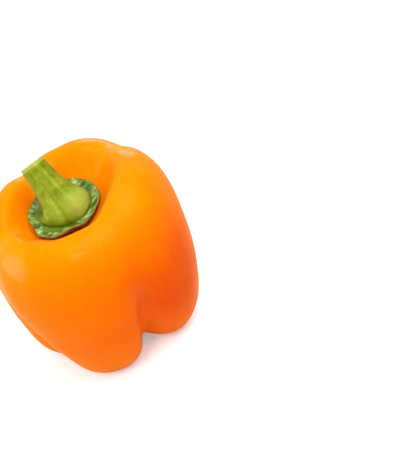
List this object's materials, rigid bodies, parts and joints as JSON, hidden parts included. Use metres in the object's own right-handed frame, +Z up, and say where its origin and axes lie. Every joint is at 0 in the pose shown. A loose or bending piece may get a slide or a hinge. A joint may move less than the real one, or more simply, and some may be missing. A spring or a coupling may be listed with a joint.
{
  "type": "bell pepper",
  "caption": "Blocky bell pepper with swollen lobes, a green calyx in its top hollow and a short cut stem; it stands on the flat spots under its lobes.",
  "frame": {"origin": "middle of the bottom of the whole pepper's box, on the surface it stands on", "axes": "+Z up through the fruit towards the stem, -Y towards the widest lobe's front side, +X to its right"},
  "size_m": [0.0786, 0.0806, 0.0914],
  "materials": {
    "skin": "smooth waxy orange skin, glossy",
    "calyx": "dull dark green leaf tissue",
    "stem": "satin yellow-green stalk, fine ribs"
  },
  "bodies": {
    "root": {"fruit": "skin", "calyx": "calyx", "stem": "stem"}
  },
  "joints": []
}
